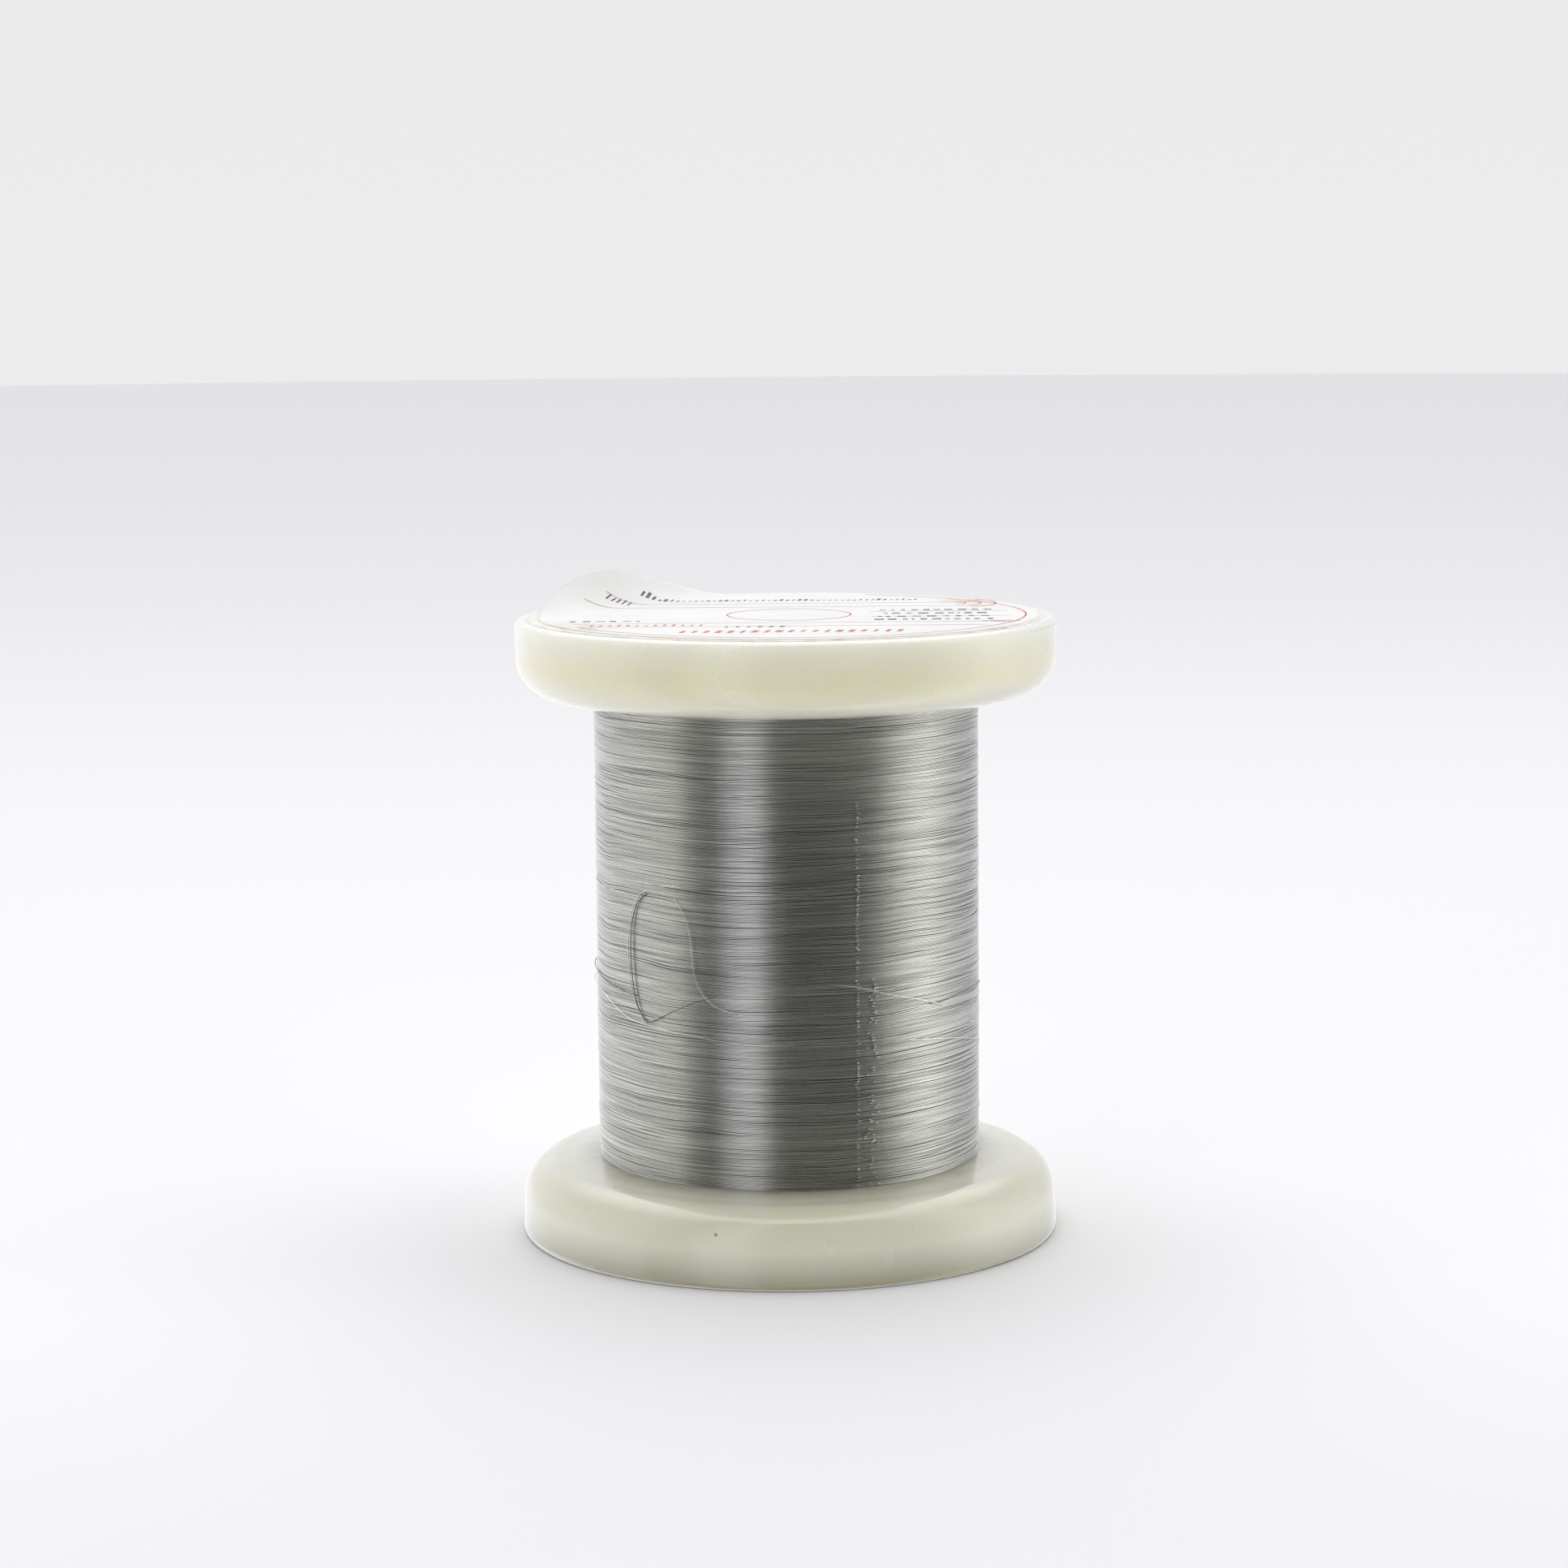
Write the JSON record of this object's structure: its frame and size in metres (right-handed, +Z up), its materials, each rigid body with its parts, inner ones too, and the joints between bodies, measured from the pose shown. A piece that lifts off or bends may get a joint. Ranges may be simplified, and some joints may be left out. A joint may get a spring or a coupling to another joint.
{
  "type": "wire bobbin",
  "caption": "Plastic bobbin with thick rounded flanges, wound full of fine bright metal wire, with a round paper label on its upper face.",
  "frame": {"origin": "centre of the lower face, on the surface that the bobbin stands on", "axes": "+Z up along the bobbin's axis; -Y towards the side with the loose wire and the crossover lead"},
  "size_m": [0.07, 0.07, 0.085],
  "materials": {
    "flange": "glossy ivory moulding, a little yellowed, with fine scratches",
    "end_plate": "glossy ivory moulding",
    "core": "plain ivory moulding",
    "wire": "bright drawn wire, wound in fine uneven turns",
    "adhesive": "thin dried film, yellowed",
    "label": "matte white paper with thin printed rings and ruled lines"
  },
  "bodies": {
    "root": {"flange_lower": "flange", "flange_upper": "flange", "end_plate_lower": "end_plate", "end_plate_upper": "end_plate", "arbor_tube": "core", "barrel": "core", "winding_inner_layers": "wire", "winding_outer_layers": "wire", "crossover_lead": "wire", "loose_end_loop": "wire", "loose_inner_arc": "wire", "loose_turn_left_upper": "wire", "loose_turn_left_lower": "wire", "loose_turn_right_upper": "wire", "loose_turn_right_middle": "wire", "loose_turn_right_lower": "wire", "label_adhesive": "adhesive", "label": "label"}
  },
  "joints": []
}
